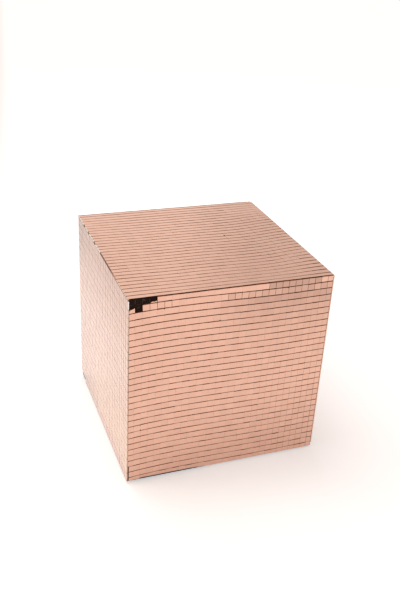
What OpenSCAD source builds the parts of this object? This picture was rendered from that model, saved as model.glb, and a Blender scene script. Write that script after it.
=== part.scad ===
// Display cube clad in mirror mosaic.
// A black board carcass stands on four felt pads. Mosaic sheets of small mirror tiles cover its four
// walls and its top. The side sheets cover the edges of the front and back sheets, the top sheet lies on
// the side sheets, and the front and back sheets rise past its edges to the full height of the cube.
// A few tiles are missing at the top left corner of the front.
// Units are millimetres. The origin is on the floor under the middle of the cube. The front faces -Y.

/* [Cube] */
// Width, depth and height of the clad cube, without its pads
side = 300; // [240:20:400]
// Radius of the two knocked corners
knock_r = 7; // [3:1:9]

/* [Mosaic sheets] */
// Thickness of the mirror glass
glass_t = 1.6; // [1:0.2:3]
// Thickness of the black adhesive backing sheet
backing_t = 0.4; // [0.2:0.1:1]
// Number of tile rows of the front, the back and the top
fine_tiles = 30; // [24:1:40]
// Height of a tile row of the sides
tall_tile = 12.8; // [9:0.1:16]
// Open joint between two rows of tiles
row_gap = 0.5; // [0.2:0.1:1]
// Bare strip of carcass below the lowest tiles
bare_edge = 1; // [0.5:0.5:4]

/* [Broken corner] */
// Tiles gone from the left end of the front's first row
first_row_gone = 4; // [2:1:8]
// Tiles gone or broken at the left end of the front's second row
second_row_gone = 2; // [1:1:6]

/* [Carcass] */
// Thickness of every board
board_t = 9; // [9:1:18]
// Width of the square corner posts
post_w = 20; // [18:1:30]
// Width of the square cleats
cleat_w = 16; // [14:1:20]

/* [Fixings] */
// Shank diameter of the panel pins
pin_d = 1.6; // [1:0.1:2]
// Length of the panel pins
pin_len = 25; // [20:1:27]
// Pins up each side of a wall
pins_per_edge = 4; // [2:1:6]
// Shank diameter of the base screws
screw_d = 3.5; // [3:0.5:4]
// Length of the base screws
screw_len = 20; // [16:1:22]

/* [Felt pads] */
// Diameter of a pad
pad_d = 30; // [20:1:40]
// Thickness of a pad
pad_t = 2; // [1:0.5:5]
// Distance from the cube's faces to a pad's centre
pad_inset = 32; // [32:1:60]

/* [Hidden] */

// Angles that turn the front face onto each wall
FRONT = 0;
RIGHT = 90;
BACK = 180;
LEFT = -90;

// Levels and sizes that follow from the driving dimensions
skin = glass_t + backing_t;
floor_of_cube = pad_t;
top_of_cube = pad_t + side;
core_w = side - 2 * skin;
core_top = top_of_cube - skin;
knock_depth = skin + board_t;
wall_top = core_top - board_t;
wall_h = wall_top - floor_of_cube;
inner_w = core_w - 2 * board_t;
post_h = wall_h - board_t;
cleat_len = inner_w - 2 * post_w;

// Mosaic grid
fine = side / fine_tiles;
sheet_low = floor_of_cube + bare_edge;
narrow_sheet = side - 2 * skin;
side_rows = ceil((core_top - sheet_low - row_gap) / tall_tile);

// The front's rows that have tiles missing at their left end
broken_rows = 2;

// Heights of what is left of the broken tiles: the sliver, and the stub's two sides
sliver_h = 0.25 * fine;
stub_high = 0.75 * fine;
stub_low = 0.4 * fine;

// Fixings
pin_head_d = 2 * pin_d;
pin_head_t = 1;
screw_head_d = 2 * screw_d;
screw_head_t = (screw_head_d - screw_d) / 2;
screw_tip_d = screw_d / 4;
recess_w = screw_d / 5;
recess_len = 0.9 * screw_d;
recess_d = 0.6 * screw_head_t;
fixing_reach = cleat_len / 4;
pin_from_edge = board_t + post_w / 2;
pin_stagger = 12;
pin_end = 30;
round_fn = 32;
cut = 0.1;

// The wall's own frame: X across it, Y up it, Z out of it from the carcass, seen from outside
module on_wall(turn) {
    rotate([0, 0, turn])
        translate([0, -core_w / 2, 0])
            rotate([90, 0, 0])
                children();
}

// The top's own frame: Z out of it from the carcass
module on_top() {
    translate([0, 0, core_top])
        children();
}

// What a knock took off a corner, through one sheet and the board behind it. The corner is at the origin,
// the faces that meet there look along +X and +Y, and the knocked face looks along +Z.
module knocked_off() {
    translate([-knock_r, -knock_r, -knock_depth])
        difference() {
            cube([knock_r + cut, knock_r + cut, knock_depth + cut]);
            cylinder(r = knock_r, h = knock_depth + cut, $fn = round_fn);
        }
}

// The knock on the front face, at its foot on the right
module front_foot_knock() {
    translate([side / 2, -side / 2, floor_of_cube])
        rotate([90, 0, 0])
            mirror([0, 1, 0])
                knocked_off();
}

// The knock on the top face, at the back on the right
module back_top_knock() {
    translate([side / 2, side / 2, top_of_cube])
        knocked_off();
}

// ---- Fixings ----

// One pin, driven along -Z from the surface of a board
module pin() {
    translate([0, 0, -pin_len])
        cylinder(d = pin_d, h = pin_len - pin_head_t + cut, $fn = round_fn);
    translate([0, 0, -pin_head_t])
        cylinder(d = pin_head_d, h = pin_head_t, $fn = round_fn);
}

// The pins of one wall: up both of its sides, into the corner posts
module wall_pins(turn) {
    crosswise = turn == LEFT || turn == RIGHT;
    reach = core_w / 2 - pin_from_edge;
    low = floor_of_cube + board_t + pin_end + (crosswise ? pin_stagger : 0);
    high = wall_top - pin_end - (crosswise ? 0 : pin_stagger);
    step = (high - low) / (pins_per_edge - 1);
    on_wall(turn)
        for (s = [-1, 1], i = [0 : pins_per_edge - 1])
            translate([s * reach, low + i * step, 0])
                pin();
}

// The pins of the top: down into the middle of each post and each top cleat
module top_pins() {
    reach = inner_w / 2 - post_w / 2;
    cleat_reach = inner_w / 2 - cleat_w / 2;
    on_top() {
        for (sx = [-1, 1], sy = [-1, 1])
            translate([sx * reach, sy * reach, 0])
                pin();
        for (turn = [FRONT, RIGHT, BACK, LEFT], s = [-1, 1])
            rotate([0, 0, turn])
                translate([s * fixing_reach, -cleat_reach, 0])
                    pin();
    }
}

module panel_pins() {
    color("silver") {
        wall_pins(FRONT);
        wall_pins(BACK);
        wall_pins(LEFT);
        wall_pins(RIGHT);
        top_pins();
    }
}

// A countersunk screw without its recess, driven up from the underside of the base
module screw_blank() {
    cylinder(d1 = screw_head_d, d2 = screw_d, h = screw_head_t, $fn = round_fn);
    cylinder(d = screw_d, h = screw_len - screw_d, $fn = round_fn);
    translate([0, 0, screw_len - screw_d])
        cylinder(d1 = screw_d, d2 = screw_tip_d, h = screw_d, $fn = round_fn);
}

// The cross recess for the screwdriver
module cross_recess() {
    for (turn = [0, 90])
        rotate([0, 0, turn])
            translate([-recess_len / 2, -recess_w / 2, -cut])
                cube([recess_len, recess_w, recess_d + cut]);
}

// Puts what is given in each of the base screws' places
module at_base_screws() {
    for (turn = [FRONT, RIGHT, BACK, LEFT], s = [-1, 1])
        rotate([0, 0, turn])
            translate([s * fixing_reach, -(inner_w - cleat_w) / 2, floor_of_cube])
                children();
}

module base_screw_holes() {
    at_base_screws()
        screw_blank();
}

module base_screws() {
    color("goldenrod")
        at_base_screws()
            difference() {
                screw_blank();
                cross_recess();
            }
}

// ---- Carcass ----

module wall_board(turn, width) {
    color("dimgray")
        difference() {
            on_wall(turn)
                translate([-width / 2, floor_of_cube, -board_t])
                    cube([width, wall_h, board_t]);
            wall_pins(turn);
            front_foot_knock();
        }
}

module top_panel() {
    color("dimgray")
        difference() {
            on_top()
                translate([-core_w / 2, -core_w / 2, -board_t])
                    cube([core_w, core_w, board_t]);
            top_pins();
            back_top_knock();
        }
}

module base_panel() {
    color("dimgray")
        difference() {
            translate([-inner_w / 2, -inner_w / 2, floor_of_cube])
                cube([inner_w, inner_w, board_t]);
            base_screw_holes();
        }
}

module corner_post(sx, sy) {
    reach = (inner_w - post_w) / 2;
    color("burlywood")
        difference() {
            translate([sx * reach - post_w / 2, sy * reach - post_w / 2, floor_of_cube + board_t])
                cube([post_w, post_w, post_h]);
            wall_pins(sy < 0 ? FRONT : BACK);
            wall_pins(sx < 0 ? LEFT : RIGHT);
            top_pins();
        }
}

// A cleat against the inside of a wall, with its underside at the given level
module cleat(turn, level) {
    rotate([0, 0, turn])
        translate([-cleat_len / 2, -inner_w / 2, level])
            cube([cleat_len, cleat_w, cleat_w]);
}

module top_cleat(turn) {
    color("tan")
        difference() {
            cleat(turn, wall_top - cleat_w);
            top_pins();
        }
}

module base_cleat(turn) {
    color("tan")
        difference() {
            cleat(turn, floor_of_cube + board_t);
            base_screw_holes();
        }
}

// ---- Mosaic sheets ----

// The black sheet behind a wall's tiles, up to the level of its head
module wall_backing(turn, width, head) {
    color("black")
        difference() {
            on_wall(turn)
                translate([-width / 2, sheet_low, 0])
                    cube([width, head - sheet_low, backing_t]);
            front_foot_knock();
            back_top_knock();
        }
}

// Where the heads of the front and back sheets pass the top sheet's edges
module passing_heads() {
    for (turn = [FRONT, BACK])
        on_wall(turn)
            translate([-narrow_sheet / 2, core_top - cut, 0])
                cube([narrow_sheet, skin + 2 * cut, skin + cut]);
}

module top_backing() {
    color("black")
        difference() {
            on_top()
                translate([-side / 2, -side / 2, 0])
                    cube([side, side, backing_t]);
            passing_heads();
            back_top_knock();
        }
}

// One row of wall tiles between two row lines, from u0 to u1 across the wall, trimmed to the sheet's foot
module wall_row(line_above, line_below, u0, u1) {
    high = line_above - row_gap / 2;
    low = max(sheet_low, line_below + row_gap / 2);
    translate([u0, low, backing_t])
        cube([u1 - u0, high - low, glass_t]);
}

// Level of the front's and the back's row line that has the given number of rows above it
function fine_line(rows_above) = top_of_cube - rows_above * fine;

module fine_row(row, u0, u1) {
    wall_row(fine_line(row), fine_line(row + 1), u0, u1);
}

// The rows of the front's or the back's sheet, from the row numbered first downwards
module fine_rows(first) {
    for (row = [first : fine_tiles - 1])
        fine_row(row, -narrow_sheet / 2, narrow_sheet / 2);
}

// Level of a side's row line: the rows start whole at the sheet's head
function tall_line(rows_above) = core_top + row_gap / 2 - rows_above * tall_tile;

// Place of a column line on the front, with the given number of tiles to its left
function column_line(tiles) = tiles * fine - side / 2;

module front_tiles() {
    color("rosybrown")
        difference() {
            on_wall(FRONT) {
                fine_row(0, column_line(first_row_gone), narrow_sheet / 2);
                fine_row(1, column_line(second_row_gone), narrow_sheet / 2);
                fine_rows(broken_rows);
            }
            front_foot_knock();
        }
}

// The sliver left along the foot of the first row's last broken tile
module tile_sliver() {
    translate([column_line(first_row_gone - 1), fine_line(1) + row_gap / 2])
        square([fine - row_gap, sliver_h]);
}

// The lower right part left of the second row's first tile
module tile_stub() {
    left = -narrow_sheet / 2;
    right = column_line(1) - row_gap / 2;
    low = fine_line(2) + row_gap / 2;
    polygon([
        [left, low],
        [right, low],
        [right, low + stub_high],
        [left, low + stub_low]
    ]);
}

module front_tile_shards() {
    color("rosybrown")
        on_wall(FRONT)
            translate([0, 0, backing_t])
                linear_extrude(glass_t) {
                    tile_sliver();
                    tile_stub();
                }
}

module back_tiles() {
    color("rosybrown")
        difference() {
            on_wall(BACK)
                fine_rows(0);
            back_top_knock();
        }
}

module side_tiles(turn) {
    color("rosybrown")
        difference() {
            on_wall(turn)
                for (row = [0 : side_rows - 1])
                    wall_row(tall_line(row), tall_line(row + 1), -side / 2, side / 2);
            front_foot_knock();
            back_top_knock();
        }
}

module top_tiles() {
    color("rosybrown")
        difference() {
            on_top()
                for (row = [0 : fine_tiles - 1])
                    translate([-side / 2, row * fine - side / 2 + row_gap / 2, backing_t])
                        cube([side, fine - row_gap, glass_t]);
            passing_heads();
            back_top_knock();
        }
}

// ---- Felt pads ----

module felt_pad(sx, sy) {
    reach = side / 2 - pad_inset;
    color("darkslategray")
        translate([sx * reach, sy * reach, 0])
            cylinder(d = pad_d, h = pad_t, $fn = round_fn);
}

wall_board(FRONT, core_w);  // front_panel
wall_board(BACK, core_w);  // back_panel
wall_board(LEFT, inner_w);  // left_panel
wall_board(RIGHT, inner_w);  // right_panel
top_panel();
base_panel();
corner_post(-1, -1);  // front_left_post
corner_post(1, -1);  // front_right_post
corner_post(-1, 1);  // back_left_post
corner_post(1, 1);  // back_right_post
top_cleat(FRONT);  // front_top_cleat
top_cleat(BACK);  // back_top_cleat
top_cleat(LEFT);  // left_top_cleat
top_cleat(RIGHT);  // right_top_cleat
base_cleat(FRONT);  // front_base_cleat
base_cleat(BACK);  // back_base_cleat
base_cleat(LEFT);  // left_base_cleat
base_cleat(RIGHT);  // right_base_cleat
panel_pins();
base_screws();
wall_backing(FRONT, narrow_sheet, top_of_cube);  // front_backing
wall_backing(BACK, narrow_sheet, top_of_cube);  // back_backing
wall_backing(LEFT, side, core_top);  // left_backing
wall_backing(RIGHT, side, core_top);  // right_backing
top_backing();
front_tiles();
front_tile_shards();
back_tiles();
side_tiles(LEFT);  // left_tiles
side_tiles(RIGHT);  // right_tiles
top_tiles();
felt_pad(-1, -1);  // front_left_pad
felt_pad(1, -1);  // front_right_pad
felt_pad(-1, 1);  // back_left_pad
felt_pad(1, 1);  // back_right_pad
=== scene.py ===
import math
import random
from dataclasses import dataclass

import bpy
from mathutils import Matrix, Vector, noise


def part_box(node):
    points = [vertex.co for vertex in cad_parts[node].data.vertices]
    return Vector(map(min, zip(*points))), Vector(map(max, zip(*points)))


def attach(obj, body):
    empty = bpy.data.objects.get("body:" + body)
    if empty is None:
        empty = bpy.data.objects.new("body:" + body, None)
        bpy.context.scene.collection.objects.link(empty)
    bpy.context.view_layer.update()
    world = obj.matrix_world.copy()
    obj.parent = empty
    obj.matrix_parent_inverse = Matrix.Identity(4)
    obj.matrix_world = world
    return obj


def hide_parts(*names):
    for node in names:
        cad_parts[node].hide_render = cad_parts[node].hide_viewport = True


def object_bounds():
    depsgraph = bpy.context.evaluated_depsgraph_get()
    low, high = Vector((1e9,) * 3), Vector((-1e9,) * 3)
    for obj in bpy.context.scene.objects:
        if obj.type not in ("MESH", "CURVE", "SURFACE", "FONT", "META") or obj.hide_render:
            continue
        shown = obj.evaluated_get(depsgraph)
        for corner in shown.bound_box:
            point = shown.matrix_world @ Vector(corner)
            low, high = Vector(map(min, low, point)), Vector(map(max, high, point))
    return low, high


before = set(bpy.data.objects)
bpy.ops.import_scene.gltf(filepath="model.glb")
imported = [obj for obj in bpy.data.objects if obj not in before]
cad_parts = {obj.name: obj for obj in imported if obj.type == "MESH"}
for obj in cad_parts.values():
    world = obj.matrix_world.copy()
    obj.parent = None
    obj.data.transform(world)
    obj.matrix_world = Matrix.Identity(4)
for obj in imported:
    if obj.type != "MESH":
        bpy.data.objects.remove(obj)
cad_low, cad_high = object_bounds()

# The looks of a display cube clad in mirror mosaic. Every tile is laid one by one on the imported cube.
# A clad face has its own coordinates, seen from outside: u runs to the right and v up, from the face's
# lower left corner, and w stands out of the face, with the face itself at w = 0. The top face's v runs
# from the front to the back. Everything is in metres.

MM = 0.001
random.seed(20)

# ---- Sizes that the frame gives ----

SIDE = cad_high.x - cad_low.x
TOP = cad_high.z
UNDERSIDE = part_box("front_left_pad")[1].z
sheet_low, sheet_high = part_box("front_tiles")
GLASS = sheet_high.y - sheet_low.y
SKIN = (SIDE - (sheet_high.x - sheet_low.x)) / 2
BARE_EDGE = sheet_low.z - UNDERSIDE

# ---- The mosaic ----

FINE_TILES = 30
TOP_COLUMNS = 24
TALL_TILE = 12.8 * MM
SMALLEST_TILE = 0.8 * MM

# The gap between rows, and the joints between the tiles of a row
ROW_GAP = 0.5 * MM
CLOSED_JOINT = 0.02 * MM
HAND_JOINT = 0.5 * MM
SECOND_ROW_JOINT = 0.45 * MM
LAST_COLUMN_JOINT = 0.35 * MM
LOW_RIGHT_JOINT = 0.15 * MM
NARROWEST_SIDE_JOINT = 0.4 * MM
WIDEST_SIDE_JOINT = 1.0 * MM

# A tile's bevel: its width at head and foot by face, how much that varies, its width at the tile's sides,
# its depth, and the width of the raw one at the top's left and right borders
TOP_BEVEL = 0.48 * MM
SIDE_BEVEL = 0.24 * MM
FINE_BEVEL = 0.42 * MM
BEVEL_SPREAD = 0.3
COLUMN_BEVEL = 0.02 * MM
BEVEL_D = 0.35 * MM
EDGE_BEVEL = 0.9 * MM

# Borders of the sheets. Tiles run past them by the spare, to be trimmed.
BORDER_SPARE = 4 * MM
BORDER_WANDER = 0.08 * MM
NEAR_BORDER = 0.3 * MM
TOP_SEAM = 0.5 * MM
FRONT_SEAM = 0.5 * MM

# Faults: knocked corners, chips, and strips without glass, beside the front's lower left corner and at the
# back end of the left side's foot
KNOCK_R = 7 * MM
CHIP = 1.6 * MM
BARE_STRIP = 1.3 * MM
BARE_STRIP_ROWS = 3
FOOT_GAP = 2.3 * MM
LOST_FOOT = 8.4 * MM
LOST_FOOT_STEP = 0.8 * MM
LOST_FOOT_COLUMNS = 3

# How far tiles are off their places: shifted, turned and leaning
JITTER = 0.1 * MM
MACHINE_TURN = math.radians(0.08)
MACHINE_LEAN = math.radians(0.15)
HAND_TURN = math.radians(1.2)
HAND_LEAN = math.radians(0.7)

# Where the front's two first rows were laid by hand, as shares of its width. These tiles are darkened
# with painted shade too, except the last of the first row and those beside the bare corner.
HAND_FROM = 0.66
PAINTED_SHADE_TO = 0.92
SECOND_HAND_FROM = 0.45
SECOND_DEEPER_SHADE_FROM = 0.64
SECOND_HAND_TO = 0.2

# Tones of the mirrors: an even spread at random, then painted shade on parts of the front and the left side
EVEN_TONES = (0.965, 1.03)
DEEPEST_SHADE_TONES = (0.64, 0.74)
DEEPER_SHADE_TONES = (0.72, 0.82)
LIGHT_SHADE_TONES = (0.86, 0.94)
# Painted shade on the front below its two first rows: its depth, and the rows over which it fades
PAINTED_SHADE_BELOW = 0.27
PAINTED_SHADE_ROWS = 4
# Painted shade on the left side: its overall tone, and how dark and how far its upper back corner is shaded
LEFT_SHADE_TONE = 0.74
BACK_CORNER_SHADE_TONE = 0.65
BACK_CORNER_REACH = 120 * MM

# Slots of a mosaic's two materials
MIRROR = 0
RAW_EDGE = 1

# Tones of a raw glass edge, from dark to light. Amber and white also stand for painted glints and highlights
DARK = 0.04
BROWN = 0.18
AMBER = 0.3
ROSE = 0.45
PINK = 0.53
CREAM = 0.6
WHITE = 1.0

# Share of tiles whose raw edge carries a painted white highlight, among the dark ones, along the back half
# of the top's left edge
PAINTED_HIGHLIGHT_SHARE = 0.6

# The rows of the front droop at their left end, wave across the face, and spread near its head and foot
DROOP = 2.6 * MM
DROOP_REACH = 30 * MM
WAVE = 1.0 * MM
WAVE_START = 0.48
HEAD_LIFT = 1.2 * MM
FOOT_DROP = 0.5 * MM
SPREAD_REACH = 40 * MM

# The rows of the top sag in two stretches and bend back at both ends
LEFT_SAG = 1.3 * MM
MIDDLE_SAG = 2.2 * MM
LEFT_BEND = 1.8 * MM
RIGHT_BEND = 7.5 * MM


@dataclass
class Face:
    """A clad face: its place, its grid, and the rectangle that its sheet of tiles fills.

    The grid's rows are counted down from first_line, which is where the first row's head would be."""

    name: str
    place: Matrix
    columns: int
    rows: int
    tile_h: float
    first_line: float
    bevel: float
    left: float
    right: float
    foot: float
    head: float

    @property
    def tile_w(self):
        return SIDE / self.columns

    def middle_of(self, row, column):
        """How far right of the face's left side, and how far below its head, a tile's middle is."""
        return (column + 0.5) * self.tile_w, SIDE - self.first_line + (row + 0.5) * self.tile_h


@dataclass
class Lay:
    """How one tile was laid: its shift from the grid, its turn, the slopes of its surface, its mirror's
    tone, which holds random spread and painted shade, and the share of a painted warm reflection."""

    along: float = 0
    up: float = 0
    turn: float = 0
    lean_u: float = 0
    lean_v: float = 0
    tone: float = 1
    painted_warmth: float = 0


def wall_place(turn):
    """The matrix of a wall's coordinates, for a wall that is turned from the front by that angle."""
    corner = Matrix.Translation((-SIDE / 2, -SIDE / 2, 0)) @ Matrix.Rotation(math.pi / 2, 4, "X")
    return Matrix.Translation((0, 0, UNDERSIDE)) @ Matrix.Rotation(math.radians(turn), 4, "Z") @ corner


FINE = SIDE / FINE_TILES


def narrow_wall(name, turn):
    """The front or the back, whose sheet ends at the sheets beside it and rises past the top's edge."""
    sheet = (SKIN, SIDE - SKIN, BARE_EDGE, SIDE)
    return Face(name, wall_place(turn), FINE_TILES, FINE_TILES, FINE, SIDE, FINE_BEVEL, *sheet)


def wide_wall(name, turn):
    """A side, whose sheet covers the edges of the front's and the back's, and starts with a whole row."""
    sheet = (0, SIDE, BARE_EDGE, SIDE - SKIN)
    first_line = SIDE - SKIN
    rows = math.ceil((first_line - BARE_EDGE - ROW_GAP) / TALL_TILE)
    return Face(name, wall_place(turn), FINE_TILES, rows, TALL_TILE, first_line, SIDE_BEVEL, *sheet)


FRONT = narrow_wall("front", 0)
RIGHT = wide_wall("right", 90)
BACK = narrow_wall("back", 180)
LEFT = wide_wall("left", -90)
TOP_PLACE = Matrix.Translation((-SIDE / 2, -SIDE / 2, TOP))
TOP_SHEET = (0, SIDE, SKIN, SIDE - SKIN)
TOP_FACE = Face("top", TOP_PLACE, TOP_COLUMNS, FINE_TILES, FINE, SIDE, TOP_BEVEL, *TOP_SHEET)


def ease(x, start, end):
    """0 before start, 1 after end, and a smooth way between."""
    t = min(1.0, max(0.0, (x - start) / (end - start)))
    return t * t * (3 - 2 * t)


def around(spread):
    return random.uniform(-spread, spread)


# ---- How the tiles of each face were laid. Rows are counted from the head of the face, from 0. ----


def machine_lay():
    """A tile that came ready laid on its backing sheet."""
    return Lay(
        around(JITTER / 4), around(JITTER), around(MACHINE_TURN),
        around(MACHINE_LEAN), around(MACHINE_LEAN), random.uniform(*EVEN_TONES),
    )


def hand_laid_on_front(row, share):
    """Whether a tile of the front was laid by hand, in a row and at a share of the width."""
    if row == 0:
        return share > HAND_FROM
    return row == 1 and (share > SECOND_HAND_FROM or share < SECOND_HAND_TO)


def front_shift(u, depth):
    """How far down the front's rows lie from the grid, at u and a depth below the face's head."""
    droop = DROOP * math.exp(-u / DROOP_REACH)
    wave = WAVE * math.sin(2 * math.pi * (u / SIDE - WAVE_START))
    lift = HEAD_LIFT * math.exp(-depth / SPREAD_REACH)
    drop = FOOT_DROP * math.exp((depth - SIDE) / SPREAD_REACH)
    return droop + wave - lift + drop


def top_shift(u, depth):
    """How far towards the front the top's rows lie from the grid: they sag right of the middle, and
    bend back at both ends. The rows at the back and the front are straight."""
    share = u / SIDE
    nearness = depth / SIDE
    past_left = ease(share, 0, 0.3)
    sag = LEFT_SAG * past_left + MIDDLE_SAG * ease(share, 0.45, 0.68) * ease(nearness, 0.1, 0.6)
    bend = LEFT_BEND * (1 - past_left) + RIGHT_BEND * ease(share, 0.74, 1.0)
    return (sag - bend) * ease(nearness, 0, 0.3) * (1 - ease(nearness, 0.75, 1.05))


def follow(lay, shift, u, depth):
    """Moves and turns a tile to follow a shift of its row."""
    step = 1 * MM
    lay.up -= shift(u, depth)
    lay.turn -= math.atan((shift(u + step, depth) - shift(u - step, depth)) / (2 * step))


def front_lay(row, column):
    """Right of the middle, the tiles below the two first rows are darkened a little with painted shade too,
    and less so with every row."""
    u, depth = FRONT.middle_of(row, column)
    share = u / SIDE
    lay = machine_lay()
    if hand_laid_on_front(row, share):
        lay.turn += around(HAND_TURN)
        lay.lean_u += around(HAND_LEAN)
        lay.lean_v += around(HAND_LEAN)
    # Painted shade: the hand-laid tiles of the two first rows are darkened, standing in for a darker
    # reflection
    if row == 0 and HAND_FROM < share < PAINTED_SHADE_TO:
        lay.tone *= random.uniform(*DEEPEST_SHADE_TONES)
    elif row == 1 and share > SECOND_HAND_FROM:
        lay.tone *= random.uniform(*(DEEPER_SHADE_TONES if share > SECOND_DEEPER_SHADE_FROM else LIGHT_SHADE_TONES))
    # Painted shade right of the middle, fading with every row below the two first
    elif row > 1:
        lay.tone *= 1 - PAINTED_SHADE_BELOW * ease(share, 0.3, 0.7) * math.exp((2 - row) / PAINTED_SHADE_ROWS)
    follow(lay, front_shift, u, depth)
    return lay


def top_lay(row, column):
    lay = machine_lay()
    follow(lay, top_shift, *TOP_FACE.middle_of(row, column))
    return lay


def left_lay(row, column):
    """The left side's mirror is darkened with painted shade, most of all at its upper back corner, and made
    paler and warmer low at its front with a painted warm reflection. Its last rows aren't made warm."""
    u, depth = LEFT.middle_of(row, column)
    lay = machine_lay()
    low_front = ease(depth / SIDE, 0.4, 0.9) * ease(u / SIDE, 0.0, 0.5)
    # Painted warm reflection, strongest low at the front, but not on the last two rows
    if row < LEFT.rows - 2:
        lay.painted_warmth = 0.3 + 0.7 * low_front
    # Painted shade over the whole side, lighter low at the front, and deepest at the upper back corner
    lay.tone *= LEFT_SHADE_TONE * (0.92 + 0.07 * ease(u / SIDE, 0, 0.6) + 0.2 * low_front)
    lay.tone *= BACK_CORNER_SHADE_TONE + (1 - BACK_CORNER_SHADE_TONE) * ease(u + depth, 0, BACK_CORNER_REACH)
    return lay


def plain_lay(row, column):
    return machine_lay()


def plain_joint(face, row, line):
    """Width of the joint at a column line, counted from the left, in one row."""
    return CLOSED_JOINT


def side_joint(face, row, line):
    return random.uniform(NARROWEST_SIDE_JOINT, WIDEST_SIDE_JOINT)


def front_joint(face, row, line):
    """The front's joints show where it was laid by hand, along parts of its last column, and more and
    more towards its lower right."""
    share = line / face.columns
    if line == face.columns - 1 and (row < 3 or row > face.rows / 2):
        return LAST_COLUMN_JOINT
    if row == 0:
        return HAND_JOINT if share > HAND_FROM else CLOSED_JOINT
    if row == 1 and (share > SECOND_HAND_FROM or share <= SECOND_HAND_TO):
        return SECOND_ROW_JOINT
    low_right = ease(share, 0.5, 1) * (0.5 + ease(row / face.rows, 0.3, 0.7))
    return CLOSED_JOINT / 2 + LOW_RIGHT_JOINT * low_right


# ---- Tones of the sheets' raw edges ----


def joint_tone(face):
    """Raw edges inside a joint are dark, but many on the front carry a painted amber glint and a few on the
    top shine.
    """
    if face is FRONT:
        return random.uniform(DARK, AMBER)
    if face is TOP_FACE:
        return random.choice((DARK, DARK, DARK, BROWN, BROWN, WHITE))
    return DARK + 0.06 * random.random()


def border_tone(face, border, share):
    """Tone of a raw edge along a sheet's border, at a share of the way along it, or None for an edge that
    shines like the mirror."""
    if face is RIGHT and border == "left":
        return None
    if face is FRONT and border == "head":
        return DARK
    if face is TOP_FACE and border == "right":
        return BROWN
    if face is TOP_FACE and border == "left":
        # Painted highlights: white dashes among dark edges along the back half
        if share > 0.5:
            return WHITE if random.random() < PAINTED_HIGHLIGHT_SHARE else DARK
        return PINK + (DARK - PINK) * ease(share, 0.15, 0.35)
    if face is LEFT and border == "right":
        # A painted highlight near the top of the front left corner
        return WHITE if share > 0.93 else PINK
    return random.choice((ROSE, ROSE, CREAM))


# ---- Outlines ----


def tile_outline(face, row, column, lay, joint):
    """The four corners of a tile, anticlockwise from its lower left one. A tile on a border of the sheet
    runs past it, to be trimmed."""
    v_high = face.first_line - row * face.tile_h - ROW_GAP / 2
    v_low = face.first_line - (row + 1) * face.tile_h + ROW_GAP / 2
    u_low = column * face.tile_w + joint(face, row, column) / 2
    u_high = (column + 1) * face.tile_w - joint(face, row, column + 1) / 2
    middle = Vector(((u_low + u_high) / 2, (v_low + v_high) / 2))
    u_low -= BORDER_SPARE * (column == 0)
    u_high += BORDER_SPARE * (column == face.columns - 1)
    v_low -= BORDER_SPARE * (row == face.rows - 1)
    v_high += BORDER_SPARE * (row == 0)
    corners = [Vector(c) for c in ((u_low, v_low), (u_high, v_low), (u_high, v_high), (u_low, v_high))]
    turn = Matrix.Rotation(lay.turn, 2)
    return [middle + Vector((lay.along, lay.up)) + turn @ (c - middle) for c in corners]


def cut(outline, point, outward):
    """The part of a convex outline that lies inside a line. The line is given by a point and its outward
    normal."""
    kept = []
    for here, there in zip(outline, outline[1:] + outline[:1]):
        here_out = (here - point).dot(outward)
        there_out = (there - point).dot(outward)
        if here_out <= 0:
            kept.append(here)
        if here_out * there_out < 0:
            kept.append(here.lerp(there, here_out / (here_out - there_out)))
    return kept


def knock_lines(u_side, v_side):
    """Lines that round off a corner of a face: u_side is 1 for its right, v_side is 1 for its head."""
    centre = Vector((SIDE if u_side > 0 else 0, SIDE if v_side > 0 else 0))
    centre -= Vector((u_side, v_side)) * KNOCK_R
    steps = 6
    for step in range(steps + 1):
        angle = math.pi / 2 * step / steps
        outward = Vector((u_side * math.cos(angle), v_side * math.sin(angle)))
        yield centre + outward * KNOCK_R, outward


# Corners chipped off tiles, as (side, head or foot), by face, row and column
CHIPPED = {
    ("front", 4, 12): ((1, -1),), ("front", 4, 13): ((-1, -1),), ("front", 20, 1): ((1, 1), (1, -1)),
    ("front", 2, 5): ((-1, 1),), ("front", 1, 22): ((1, 1),), ("front", 13, 26): ((1, -1),),
    ("front", 25, 17): ((-1, 1),), ("top", 24, 3): ((-1, -1),), ("top", 12, 15): ((1, -1),),
    ("left", 9, 28): ((1, 1),), ("right", 14, 11): ((1, 1),), ("back", 7, 20): ((-1, -1),),
}


def chip_line(face, row, column, u_side, v_side):
    """A line that chips a tile's corner: u_side is 1 for its right, v_side is 1 for its head."""
    u = (column + (u_side > 0)) * face.tile_w
    v = face.first_line - (row + (v_side < 0)) * face.tile_h
    if face is FRONT:
        v -= front_shift(u, SIDE - v)
    outward = Vector((u_side, v_side * random.uniform(0.5, 0.9))).normalized()
    return Vector((u, v)) - outward * CHIP * random.uniform(0.6, 1), outward


def broken_corner(u, v, u_side, v_side):
    """A line that breaks off the corner of a sheet beside a knocked corner of the cube."""
    return Vector((u - u_side * KNOCK_R, v)), Vector((u_side, v_side)).normalized()


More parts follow.
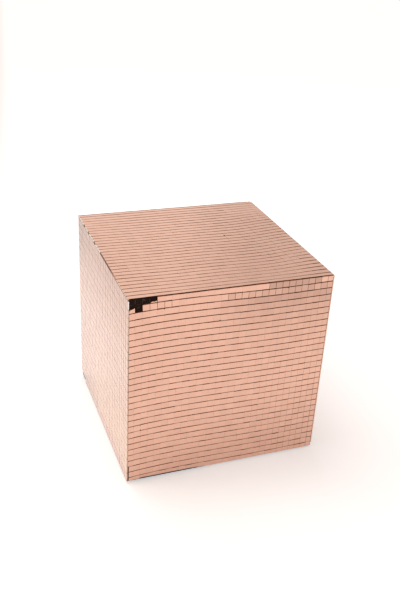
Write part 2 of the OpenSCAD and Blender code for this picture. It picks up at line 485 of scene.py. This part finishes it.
def border_lines(face, row, column):
    """Lines that a tile of a face is trimmed to."""
    left, right, foot, head = face.left, face.right, face.foot, face.head
    last_row = row == face.rows - 1
    last_column = column == face.columns - 1
    if face is FRONT and column == 0 and row >= face.rows - BARE_STRIP_ROWS:
        left += BARE_STRIP
    if face is FRONT and last_row:
        foot += FOOT_GAP * ease(column, 0, 2) * (1 - ease(column, 9, 13))
    if face is LEFT and column < LOST_FOOT_COLUMNS:
        foot += LOST_FOOT - LOST_FOOT_STEP * column
    if face is LEFT and row == 0:
        head -= TOP_SEAM
    if face is FRONT and row == 0:
        head -= FRONT_SEAM
    wander = random.uniform(0, BORDER_WANDER)
    yield Vector((left + wander, 0)), Vector((-1, 0))
    yield Vector((right - wander, 0)), Vector((1, 0))
    yield Vector((0, foot + wander)), Vector((0, -1))
    yield Vector((0, head - wander)), Vector((0, 1))
    if face is RIGHT and row >= face.rows - 2 and column == 0:
        yield broken_corner(left, foot, -1, -1)
    if face is RIGHT and row == 0 and last_column:
        yield broken_corner(right, head, 1, 1)
    if face is BACK and row == 0 and column == 0:
        yield broken_corner(left, head, -1, 1)
    for corner in CHIPPED.get((face.name, row, column), ()):
        yield chip_line(face, row, column, *corner)
    if face is FRONT and last_row and last_column:
        yield from knock_lines(1, -1)
    if face is TOP_FACE and row == 0 and last_column:
        yield from knock_lines(1, 1)


def trim(outline, lines):
    for point, outward in lines:
        outline = cut(outline, point, outward)
        if len(outline) < 3:
            return []
    return outline


def extent(outline):
    """The outline's width and height."""
    us = [p.x for p in outline]
    vs = [p.y for p in outline]
    return max(us) - min(us), max(vs) - min(vs)


def inset(outline, by_u, by_v):
    """The outline pulled in from its sides and from its foot and head, at most to a third of its size."""
    us = [p.x for p in outline]
    vs = [p.y for p in outline]
    middle = Vector(((max(us) + min(us)) / 2, (max(vs) + min(vs)) / 2))
    width, height = extent(outline)
    across = 1 - min(2 * by_u / width, 0.66)
    along = 1 - min(2 * by_v / height, 0.66)
    return [middle + Vector(((p.x - middle.x) * across, (p.y - middle.y) * along)) for p in outline]


# ---- Meshes ----


class TileMesh:
    """Gathers the tiles of one piece, in a face's coordinates."""

    def __init__(self, face):
        self.face = face
        self.points = []
        self.faces = []
        self.slots = []
        self.tones = []
        self.painted_warmths = []

    def add_face(self, corners, slot, tone, painted_warmth=0):
        self.faces.append(corners)
        self.slots.append(slot)
        self.tones.append(tone)
        self.painted_warmths.append(painted_warmth)

    def border_of(self, a, b):
        """Which border of the sheet the edge from a to b lies on, and how far along it, or None."""
        face = self.face
        middle = (a + b) / 2
        for name, off, along in (
            ("left", (a.x - face.left, b.x - face.left), middle.y),
            ("right", (a.x - face.right, b.x - face.right), middle.y),
            ("foot", (a.y - face.foot, b.y - face.foot), middle.x),
            ("head", (a.y - face.head, b.y - face.head), middle.x),
        ):
            if max(abs(d) for d in off) < NEAR_BORDER:
                return name, along / SIDE
        return None

    def add_tile(self, outline, lay):
        """A tile as a closed prism on the backing, with a bevel round its face."""
        width, height = extent(outline)
        middle = sum(outline, Vector((0, 0))) / len(outline)
        sink = (abs(lay.lean_u) * width + abs(lay.lean_v) * height) / 2 + random.uniform(0, JITTER)

        def surface(p):
            return -sink + lay.lean_u * (p.x - middle.x) + lay.lean_v * (p.y - middle.y)

        start = len(self.points)
        count = len(outline)
        self.points += [(p.x, p.y, -GLASS) for p in outline]
        self.points += [(p.x, p.y, surface(p) - BEVEL_D) for p in outline]
        bevel_w = self.face.bevel * (1 + around(BEVEL_SPREAD))
        shown = inset(outline, COLUMN_BEVEL, bevel_w)
        if self.face is TOP_FACE:
            shown = [Vector((min(max(p.x, EDGE_BEVEL), SIDE - EDGE_BEVEL), p.y)) for p in shown]
        self.points += [(p.x, p.y, surface(p)) for p in shown]
        back = [start + i for i in range(count)]
        rim = [start + count + i for i in range(count)]
        front = [start + 2 * count + i for i in range(count)]
        self.add_face(back[::-1], RAW_EDGE, DARK)
        self.add_face(front, MIRROR, lay.tone, lay.painted_warmth)
        for i in range(count):
            j = (i + 1) % count
            border = self.border_of(outline[i], outline[j])
            tone = border_tone(self.face, *border) if border else joint_tone(self.face)
            side = [back[i], back[j], rim[j], rim[i]]
            bevel = [rim[i], rim[j], front[j], front[i]]
            if tone is None:
                self.add_face(side, MIRROR, lay.tone)
            else:
                self.add_face(side, RAW_EDGE, tone)
            if self.face is TOP_FACE and border and border[0] in ("left", "right"):
                self.add_face(bevel, RAW_EDGE, tone)
            else:
                self.add_face(bevel, MIRROR, lay.tone, lay.painted_warmth)

    def make(self, name, materials):
        mesh = bpy.data.meshes.new(name)
        mesh.from_pydata(self.points, [], self.faces)
        mesh.transform(self.face.place)
        for material in materials:
            mesh.materials.append(material)
        mesh.polygons.foreach_set("material_index", self.slots)
        for kind, values in (("tone", self.tones), ("painted_warmth", self.painted_warmths)):
            mesh.attributes.new(kind, "FLOAT", "FACE").data.foreach_set("value", values)
        return place_mesh(name, mesh)


def place_mesh(name, mesh):
    piece = bpy.data.objects.new(name, mesh)
    bpy.context.scene.collection.objects.link(piece)
    return piece


def missing_from_front(row, column):
    """The bare corner: four tiles gone from the first row, and two from the second."""
    return (row == 0 and column < 4) or (row == 1 and column < 2)


def top_ears(tiles):
    """Slips of glass at the top's three whole corners, beside the heads of the front's and back's sheets."""
    for left, foot in ((0, 0), (SIDE - SKIN, 0), (0, SIDE - SKIN)):
        corners = ((left, foot), (left + SKIN, foot), (left + SKIN, foot + SKIN), (left, foot + SKIN))
        tiles.add_tile([Vector(c) for c in corners], Lay(tone=0.95))


def mosaic(face, lay_of, joint, missing=lambda row, column: False, extra=None):
    """All the whole tiles of a face, as one piece in place of the CAD sheet's tiles."""
    tiles = TileMesh(face)
    for row in range(face.rows):
        for column in range(face.columns):
            if missing(row, column):
                continue
            lay = lay_of(row, column)
            outline = tile_outline(face, row, column, lay, joint)
            outline = trim(outline, border_lines(face, row, column))
            if outline and min(extent(outline)) > SMALLEST_TILE:
                tiles.add_tile(outline, lay)
    if extra:
        extra(tiles)
    piece = tiles.make(face.name + "_mosaic", [mirror_glass, raw_edge])
    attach(piece, "root")
    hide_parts(face.name + "_tiles")


def shards():
    """What is left of two broken tiles: a sliver in the first row and a stub in the second."""
    tiles = TileMesh(FRONT)
    w, h = FRONT.tile_w, FRONT.tile_h
    first_foot = SIDE - h + ROW_GAP / 2 - front_shift(3.5 * w, h)
    sliver = [
        Vector((3.1 * w, first_foot)), Vector((3.95 * w, first_foot)),
        Vector((3.95 * w, first_foot + 0.27 * h)), Vector((3.6 * w, first_foot + 0.2 * h)),
        Vector((3.3 * w, first_foot + 0.22 * h)), Vector((3.12 * w, first_foot + 0.12 * h)),
    ]
    second_foot = SIDE - 2 * h + ROW_GAP / 2 - front_shift(w / 2, 2 * h)
    stub = [
        Vector((FRONT.left, second_foot - 0.02 * h)), Vector((0.97 * w, second_foot + 0.05 * h)),
        Vector((0.95 * w, second_foot + 0.78 * h)), Vector((0.7 * w, second_foot + 0.62 * h)),
        Vector((0.45 * w, second_foot + 0.58 * h)), Vector((FRONT.left, second_foot + 0.38 * h)),
    ]
    for outline in (sliver, stub):
        tiles.add_tile(outline, Lay(lean_u=around(HAND_LEAN), lean_v=around(HAND_LEAN)))
    piece = tiles.make("front_shards", [mirror_glass, raw_edge])
    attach(piece, "root")
    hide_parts("front_tile_shards")


# ---- Materials ----


def map_range(tree, value, start, end, low, high):
    """A value mapped from the range start to end on to the range low to high, and kept within it."""
    made = tree.nodes.new("ShaderNodeMapRange")
    for name, number in (("From Min", start), ("From Max", end), ("To Min", low), ("To Max", high)):
        made.inputs[name].default_value = number
    tree.links.new(value, made.inputs["Value"])
    return made.outputs["Result"]


class Nodes:
    """Short ways to make and join a material's nodes."""

    def __init__(self, name):
        self.material = bpy.data.materials.new(name)
        self.material.use_nodes = True
        self.tree = self.material.node_tree
        self.shader = self.tree.nodes["Principled BSDF"]
        self.place = self.tree.nodes.new("ShaderNodeTexCoord").outputs["Object"]

    def node(self, kind, **settings):
        made = self.tree.nodes.new("ShaderNode" + kind)
        for name, value in settings.items():
            setattr(made, name, value)
        return made

    def join(self, output, socket):
        self.tree.links.new(output, socket)

    def set(self, **values):
        """Sets the shader's own sockets. A name's underscores stand for spaces."""
        for name, value in values.items():
            self.shader.inputs[name.replace("_", " ")].default_value = value

    def noise(self, scale, detail=3.0, stretch=(1, 1, 1)):
        mapping = self.node("Mapping")
        mapping.inputs["Scale"].default_value = stretch
        self.join(self.place, mapping.inputs["Vector"])
        texture = self.node("TexNoise")
        texture.inputs["Scale"].default_value = scale
        texture.inputs["Detail"].default_value = detail
        self.join(mapping.outputs["Vector"], texture.inputs["Vector"])
        return texture.outputs["Fac"]

    def ramp(self, value, *stops):
        """Colours by value: each stop is (value, (r, g, b))."""
        made = self.node("ValToRGB")
        self.join(value, made.inputs["Fac"])
        elements = made.color_ramp.elements
        while len(elements) < len(stops):
            elements.new(1.0)
        for element, (position, colour) in zip(elements, stops):
            element.position = position
            element.color = (*colour, 1)
        return made.outputs["Color"]

    def map(self, value, start, end, low, high):
        return map_range(self.tree, value, start, end, low, high)

    def spread(self, value, low, high):
        """A noise value mapped on to the range from low to high."""
        return self.map(value, 0.3, 0.7, low, high)

    def weave(self, pitch):
        """The height of a net of threads that cross at the given pitch."""
        threads = []
        for direction in ("X", "Z"):
            wave = self.node("TexWave", bands_direction=direction)
            wave.inputs["Scale"].default_value = 2 * math.pi / (20 * pitch)
            self.join(self.place, wave.inputs["Vector"])
            threads.append(wave.outputs["Fac"])
        made = self.node("Math", operation="MAXIMUM")
        self.join(threads[0], made.inputs[0])
        self.join(threads[1], made.inputs[1])
        return made.outputs["Value"]

    def times(self, colour, factor):
        made = self.node("Mix", data_type="RGBA", blend_type="MULTIPLY")
        made.inputs["Factor"].default_value = 1
        self.join(colour, made.inputs["A"])
        self.join(factor, made.inputs["B"])
        return made.outputs["Result"]

    def blend(self, colour, other, share):
        made = self.node("Mix", data_type="RGBA")
        self.join(share, made.inputs["Factor"])
        self.join(colour, made.inputs["A"])
        made.inputs["B"].default_value = (*other, 1)
        return made.outputs["Result"]

    def of_tile(self, kind):
        """A tile's own value: its tone, painted shade included, or the share of its painted warm reflection.
        """
        return self.node("Attribute", attribute_name=kind).outputs["Fac"]

    def colour(self, output):
        self.join(output, self.shader.inputs["Base Color"])

    def roughness(self, output):
        self.join(output, self.shader.inputs["Roughness"])

    def bump(self, height, depth, strength=1.0):
        made = self.node("Bump")
        made.inputs["Strength"].default_value = strength
        made.inputs["Distance"].default_value = depth
        self.join(height, made.inputs["Height"])
        self.join(made.outputs["Normal"], self.shader.inputs["Normal"])


def make_mirror_glass():
    """Rose gold mirror under clear glass, a little uneven in silvering and polish."""
    m = Nodes("mirror_glass")
    deep_rose, light_rose, painted_warm_rose = (0.708, 0.411, 0.302), (0.735, 0.437, 0.326), (0.80, 0.54, 0.37)
    silvering = m.ramp(m.noise(60), (0.3, deep_rose), (0.7, light_rose))
    # A tile's painted warm reflection blends in a warmer rose, and its tone, painted shade included, darkens
    # it
    silvering = m.blend(silvering, painted_warm_rose, m.of_tile("painted_warmth"))
    m.colour(m.times(silvering, m.of_tile("tone")))
    m.roughness(m.spread(m.noise(900, 5), 0.03, 0.09))
    m.bump(m.noise(45, 1), 0.02 * MM)
    m.set(Metallic=1.0, Coat_Weight=1.0, Coat_IOR=1.5, Coat_Roughness=0.02)
    m.set(Specular_Tint=(1.0, 0.88, 0.82, 1.0))
    return m.material


def make_raw_edge():
    """Cut glass edge, from dark stained to bare and bright by its tone; its amber and white are also painted
    glints and highlights. The bright ones gleam.
    """
    m = Nodes("raw_glass_edge")
    tone = m.of_tile("tone")
    stain_and_glint = m.ramp(
        tone,
        (0.0, (0.03, 0.014, 0.010)), (AMBER, (0.36, 0.17, 0.08)), (ROSE, (0.60, 0.36, 0.27)),
        (CREAM, (0.96, 0.82, 0.68)), (WHITE, (0.98, 0.97, 0.95)),
    )
    m.colour(m.times(stain_and_glint, m.ramp(m.noise(1500), (0.3, (0.75, 0.75, 0.75)), (0.7, (1, 1, 1)))))
    m.roughness(m.spread(m.noise(2500), 0.2, 0.45))
    m.set(Specular_IOR_Level=0.2)
    m.join(m.map(tone, ROSE, CREAM, 0.0, 0.95), m.shader.inputs["Metallic"])
    m.bump(m.noise(2200, 2), 0.04 * MM)
    return m.material


mirror_glass = make_mirror_glass()
raw_edge = make_raw_edge()


# ---- The pieces ----

mosaic(FRONT, front_lay, front_joint, missing_from_front)
mosaic(BACK, plain_lay, plain_joint)
mosaic(LEFT, left_lay, side_joint)
mosaic(RIGHT, plain_lay, side_joint)
mosaic(TOP_FACE, top_lay, plain_joint, extra=top_ears)
shards()


def make_backing():
    """Black adhesive sheet with the weave of its net."""
    m = Nodes("black_backing")
    m.colour(m.ramp(m.noise(700), (0.3, (0.010, 0.005, 0.004)), (0.7, (0.022, 0.011, 0.008))))
    m.roughness(m.spread(m.noise(300), 0.55, 0.8))
    m.set(Specular_IOR_Level=0.05)
    m.bump(m.weave(2.5 * MM), 0.15 * MM)
    return m.material


def make_painted_board():
    """Board painted black with a roller."""
    m = Nodes("painted_board")
    m.colour(m.ramp(m.noise(90), (0.3, (0.014, 0.013, 0.013)), (0.7, (0.024, 0.022, 0.021))))
    m.roughness(m.spread(m.noise(200), 0.5, 0.7))
    m.bump(m.noise(900), 0.15 * MM)
    return m.material


def make_softwood(name, stretch):
    """Planed pine, with its grain drawn out by the stretch."""
    m = Nodes(name)
    grain = m.noise(60, 4, stretch)
    late_wood, early_wood, sapwood = (0.50, 0.32, 0.17), (0.66, 0.47, 0.28), (0.58, 0.39, 0.21)
    m.colour(m.ramp(grain, (0.35, late_wood), (0.5, early_wood), (0.65, sapwood)))
    m.roughness(m.spread(m.noise(250, 3, stretch), 0.5, 0.7))
    m.bump(grain, 0.2 * MM)
    return m.material


def make_metal(name, dull, bright):
    """Drawn metal with fine scratches, from a dull colour to a bright one."""
    m = Nodes(name)
    m.colour(m.ramp(m.noise(400), (0.3, dull), (0.7, bright)))
    m.roughness(m.spread(m.noise(1500, 3, (1, 1, 0.2)), 0.22, 0.42))
    m.bump(m.noise(1800, 2), 0.03 * MM)
    m.set(Metallic=1.0)
    return m.material


def make_felt():
    """Black wool felt."""
    m = Nodes("black_felt")
    m.colour(m.ramp(m.noise(1600, 5), (0.3, (0.012, 0.012, 0.013)), (0.7, (0.045, 0.044, 0.046))))
    m.roughness(m.spread(m.noise(500), 0.85, 1.0))
    m.set(Specular_IOR_Level=0.1, Sheen_Weight=0.4, Sheen_Roughness=0.6)
    m.bump(m.noise(2500, 4), 0.25 * MM)
    return m.material


def make_glue():
    """What is left of the adhesive under the lost tiles."""
    m = Nodes("old_glue")
    m.colour(m.ramp(m.noise(500), (0.3, (0.030, 0.014, 0.009)), (0.7, (0.10, 0.048, 0.028))))
    m.roughness(m.spread(m.noise(600), 0.4, 0.65))
    m.bump(m.noise(1500), 0.1 * MM)
    return m.material


backing = make_backing()
board = make_painted_board()
upright_wood = make_softwood("upright_softwood", (1, 1, 0.08))
wood_along_x = make_softwood("softwood_along_x", (0.08, 1, 1))
wood_along_y = make_softwood("softwood_along_y", (1, 0.08, 1))
pin_steel = make_metal("pin_steel", (0.42, 0.42, 0.43), (0.60, 0.60, 0.61))
screw_brass = make_metal("yellow_zinc", (0.55, 0.42, 0.20), (0.72, 0.58, 0.31))
felt = make_felt()
glue = make_glue()


def material_of(name):
    """The material of a CAD node, by its name."""
    if name.endswith("backing"):
        return backing
    if name.endswith("post"):
        return upright_wood
    if name.endswith("cleat"):
        return wood_along_x if name.startswith(("front", "back")) else wood_along_y
    if name.endswith("pins"):
        return pin_steel
    if name.endswith("screws"):
        return screw_brass
    return board


for name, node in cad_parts.items():
    node.data.materials.clear()
    node.data.materials.append(material_of(name))


def blob_mesh(name, rings, material):
    """A closed round mesh from rings of points, each ring as long as the others, from the bottom up."""
    count = len(rings[0])
    points = [p for ring in rings for p in ring]
    faces = [tuple(range(count))[::-1], tuple(range(len(points) - count, len(points)))]
    for lower in range(0, len(points) - count, count):
        for i in range(count):
            j = (i + 1) % count
            faces.append((lower + i, lower + j, lower + count + j, lower + count + i))
    mesh = bpy.data.meshes.new(name)
    mesh.from_pydata(points, [], faces)
    mesh.materials.append(material)
    return place_mesh(name, mesh)


PAD_POINTS = 48
PAD_ROUND = 0.35 * MM
PAD_FUZZ = 0.12 * MM


def felt_pad(node_name):
    """A pressed felt disc: its rims are soft and its outline a little uneven."""
    low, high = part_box(node_name)
    middle = (low + high) / 2
    radius = (high.x - low.x) / 2
    rings = []
    for height, inwards in ((0, 0.5), (0.12, 0.12), (0.4, 0), (0.75, 0.05), (0.95, 0.4), (1, 1.0)):
        ring = []
        for i in range(PAD_POINTS):
            angle = 2 * math.pi * i / PAD_POINTS
            wander = noise.noise((9 * math.cos(angle), 9 * math.sin(angle), middle.x * 99))
            r = radius - inwards * PAD_ROUND - PAD_FUZZ * (1 + wander)
            z = low.z + height * (high.z - low.z)
            ring.append((middle.x + r * math.cos(angle), middle.y + r * math.sin(angle), z))
        rings.append(ring)
    piece = blob_mesh(node_name.replace("_pad", "_felt"), rings, felt)
    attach(piece, "root")
    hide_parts(node_name)


for corner in ("front_left", "front_right", "back_left", "back_right"):
    felt_pad(corner + "_pad")


GLUE_BASE = -GLASS - 0.05 * MM


def glue_ridge(points, faces, u, v, length, width, height, turn):
    """A low ridge of glue on the front's backing, pointed at both ends."""
    start = len(points)
    along = Vector((math.cos(turn), math.sin(turn)))
    across = Vector((-along.y, along.x))
    steps = 7
    for i in range(steps):
        share = i / (steps - 1)
        swell = math.sin(math.pi * (0.06 + 0.88 * share)) * random.uniform(0.75, 1.1)
        spine = Vector((u, v)) + along * length * (share - 0.5) + across * around(0.15 * width)
        for side, rise in ((-0.5, 0), (-0.22, 0.8), (0.25, 1), (0.5, 0)):
            p = spine + across * side * width * swell
            points.append((p.x, p.y, GLUE_BASE + rise * height * swell))
    for i in range(steps - 1):
        here = start + 4 * i
        for k in range(4):
            m = (k + 1) % 4
            faces.append((here + k, here + m, here + 4 + m, here + 4 + k))
    faces.append((start + 3, start + 2, start + 1, start))
    end = start + 4 * (steps - 1)
    faces.append((end, end + 1, end + 2, end + 3))


def glue_residue():
    """Ridges of old glue in the bare corner, where the lost tiles met."""
    points, faces = [], []
    w, h = FRONT.tile_w, FRONT.tile_h
    first = SIDE - front_shift(1.5 * w, h) - 0.5 * h
    second = first - h
    for column in (1, 2, 3):
        u = column * w + around(0.3 * MM)
        glue_ridge(points, faces, u, first, 0.8 * h, 0.7 * MM, 0.5 * MM, math.pi / 2)
    for u in (0.45 * w, 1.5 * w, 2.6 * w):
        glue_ridge(points, faces, u, first - 0.42 * h, 0.7 * w, 0.6 * MM, 0.4 * MM, around(0.08))
    glue_ridge(points, faces, 1.45 * w, second + 0.1 * h, 0.5 * w, 1.1 * MM, 0.3 * MM, 0.7)
    glue_ridge(points, faces, 2.2 * w, first + 0.15 * h, 0.5 * w, 1.2 * MM, 0.3 * MM, -0.4)
    mesh = bpy.data.meshes.new("glue_residue")
    mesh.from_pydata(points, [], faces)
    mesh.transform(FRONT.place)
    mesh.materials.append(glue)
    piece = place_mesh("glue_residue", mesh)
    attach(piece, "root")


glue_residue()


# ---- Studio ----

# The camera's directions, and its place from the cube's front left foot, in sides of the cube
CAMERA_AZIMUTH = math.radians(21.42)
CAMERA_ELEVATION = math.radians(27.56)
CAMERA_ROLL = math.radians(3.22)
CAMERA_FROM_CORNER = Vector((-0.790, -2.855, 2.557))
LENS = 46.9
SENSOR = 36.0


def make_camera():
    """The camera looks down past the cube's front left corner."""
    az, el, roll = CAMERA_AZIMUTH, CAMERA_ELEVATION, CAMERA_ROLL
    forward = Vector((math.sin(az) * math.cos(el), math.cos(az) * math.cos(el), -math.sin(el)))
    level = Vector((math.cos(az), -math.sin(az), 0))
    upright = level.cross(forward)
    right = level * math.cos(roll) + upright * math.sin(roll)
    up = right.cross(forward)
    camera = bpy.data.objects.new("camera", bpy.data.cameras.new("camera"))
    camera.data.lens = LENS
    camera.data.sensor_width = SENSOR
    corner = Vector((-SIDE / 2, -SIDE / 2, UNDERSIDE))
    camera.matrix_world = Matrix.Translation(corner + CAMERA_FROM_CORNER * SIDE) @ Matrix(
        (right, up, -forward)
    ).transposed().to_4x4()
    bpy.context.scene.collection.objects.link(camera)
    bpy.context.scene.camera = camera


# The floor's half width, and its glow, which grows between the two distances from the cube's middle
FLOOR_HALF = 6.0
FLOOR_GLOW_NEAR = 0.44
FLOOR_GLOW_FAR = 0.66
FLOOR_NEAR = 0.35
FLOOR_FAR = 1.0

# The line on the floor where the camera's view ends at the left, and the width of the strip past it where
# the floor's painted glow dips to half
VIEW_LEFT = Vector((-0.263, 0, 0))
VIEW_LEFT_OUT = Vector((-1, 0.123, 0)).normalized()
HALF_GLOW_STRIP = 0.5


def make_floor():
    """A white floor, which glows a little so that shadows on it stay light. It glows more in the
    distance, and less in a strip left of what the camera sees."""
    m = Nodes("white_floor")
    shade, white = (0.84, 0.865, 0.885), (0.86, 0.885, 0.905)
    m.colour(m.ramp(m.noise(40), (0.3, shade), (0.7, white)))
    m.set(Roughness=0.9, Specular_IOR_Level=0.1, Emission_Color=(1, 1, 1, 1))
    distance = m.node("VectorMath", operation="LENGTH")
    m.join(m.place, distance.inputs[0])
    glow = m.map(distance.outputs["Value"], FLOOR_NEAR, FLOOR_FAR, FLOOR_GLOW_NEAR, FLOOR_GLOW_FAR)
    outwards = m.node("VectorMath", operation="DOT_PRODUCT")
    m.join(m.place, outwards.inputs[0])
    outwards.inputs[1].default_value = VIEW_LEFT_OUT
    start = VIEW_LEFT.dot(VIEW_LEFT_OUT)
    across = m.map(outwards.outputs["Value"], start, start + HALF_GLOW_STRIP, 0.0, 1.0)
    full, half = (1, 1, 1), (0.5, 0.5, 0.5)
    kept = m.ramp(across, (0.0, full), (0.2, half), (0.5, half), (1.0, full))
    strength = m.node("Math", operation="MULTIPLY")
    m.join(glow, strength.inputs[0])
    m.join(kept, strength.inputs[1])
    m.join(strength.outputs["Value"], m.shader.inputs["Emission Strength"])
    mesh = bpy.data.meshes.new("floor")
    corners = [(x * FLOOR_HALF, y * FLOOR_HALF, 0) for x, y in ((-1, -1), (1, -1), (1, 1), (-1, 1))]
    mesh.from_pydata(corners, [], [(0, 1, 2, 3)])
    mesh.materials.append(m.material)
    place_mesh("floor", mesh)


# Heights over the horizon where the room's colours change, and its duller side
HAZE_TO = math.radians(8)
CLEAR_FROM = math.radians(15)
BRIGHT_TO = math.radians(33)
DARK_FROM = math.radians(42)
DULL_SIDE = math.radians(22.5)
DULL_SIDE_BLUR = 0.05
ROOM_STRENGTH = 1.08
DULL_SIDE_STRENGTH = 0.87


def make_world():
    """A room, white at the horizon and warmer above it, a little duller on its right side, and dark and
    brownish overhead, so that the bevels draw thin dark lines along the rows."""
    world = bpy.data.worlds.new("studio")
    bpy.context.scene.world = world
    world.use_nodes = True
    tree = world.node_tree
    direction = tree.nodes.new("ShaderNodeTexCoord").outputs["Generated"]

    split = tree.nodes.new("ShaderNodeSeparateXYZ")
    tree.links.new(direction, split.inputs["Vector"])
    height = tree.nodes.new("ShaderNodeValToRGB")
    tree.links.new(split.outputs["Z"], height.inputs["Fac"])
    warm = (1, 0.93, 0.88, 1)
    haze, dark = height.color_ramp.elements
    haze.position, haze.color = math.sin(HAZE_TO), (1, 1, 1, 1)
    dark.position, dark.color = math.sin(DARK_FROM), (0.25, 0.095, 0.03, 1)
    height.color_ramp.elements.new(math.sin(CLEAR_FROM)).color = warm
    height.color_ramp.elements.new(math.sin(BRIGHT_TO)).color = warm

    rightwards = tree.nodes.new("ShaderNodeVectorMath")
    rightwards.operation = "DOT_PRODUCT"
    rightwards.inputs[1].default_value = (math.cos(DULL_SIDE), -math.sin(DULL_SIDE), 0)
    tree.links.new(direction, rightwards.inputs[0])
    side = map_range(tree, rightwards.outputs["Value"], -DULL_SIDE_BLUR, DULL_SIDE_BLUR, 0.0, 1.0)
    above_haze = map_range(tree, split.outputs["Z"], math.sin(HAZE_TO), math.sin(CLEAR_FROM), 0.0, 1.0)
    both = tree.nodes.new("ShaderNodeMath")
    both.operation = "MULTIPLY"
    tree.links.new(side, both.inputs[0])
    tree.links.new(above_haze, both.inputs[1])
    strength = map_range(tree, both.outputs["Value"], 0.0, 1.0, ROOM_STRENGTH, DULL_SIDE_STRENGTH)

    tree.links.new(height.outputs["Color"], tree.nodes["Background"].inputs["Color"])
    tree.links.new(strength, tree.nodes["Background"].inputs["Strength"])


def make_lamp(name, place, target, size, energy, colour):
    """A round soft light that mirrors and the camera don't show."""
    light = bpy.data.lights.new(name, "AREA")
    light.shape = "DISK"
    light.size = size
    light.energy = energy
    light.color = colour
    lamp = bpy.data.objects.new(name, light)
    lamp.location = place
    lamp.rotation_euler = (Vector(target) - lamp.location).to_track_quat("-Z", "Y").to_euler()
    lamp.visible_glossy = False
    lamp.visible_camera = False
    bpy.context.scene.collection.objects.link(lamp)


make_camera()
make_floor()
make_world()
make_lamp("softbox", place=(-0.2, 0.2, 1.5), target=(0, 0, 0), size=0.9, energy=10, colour=(1, 1, 1))
make_lamp(
    "warm_fill", place=(-0.6, 0.0, 0.45), target=(-0.18, 0, 0),
    size=0.2, energy=0.55, colour=(1, 0.94, 0.80),
)
bpy.context.scene.view_settings.view_transform = "Standard"
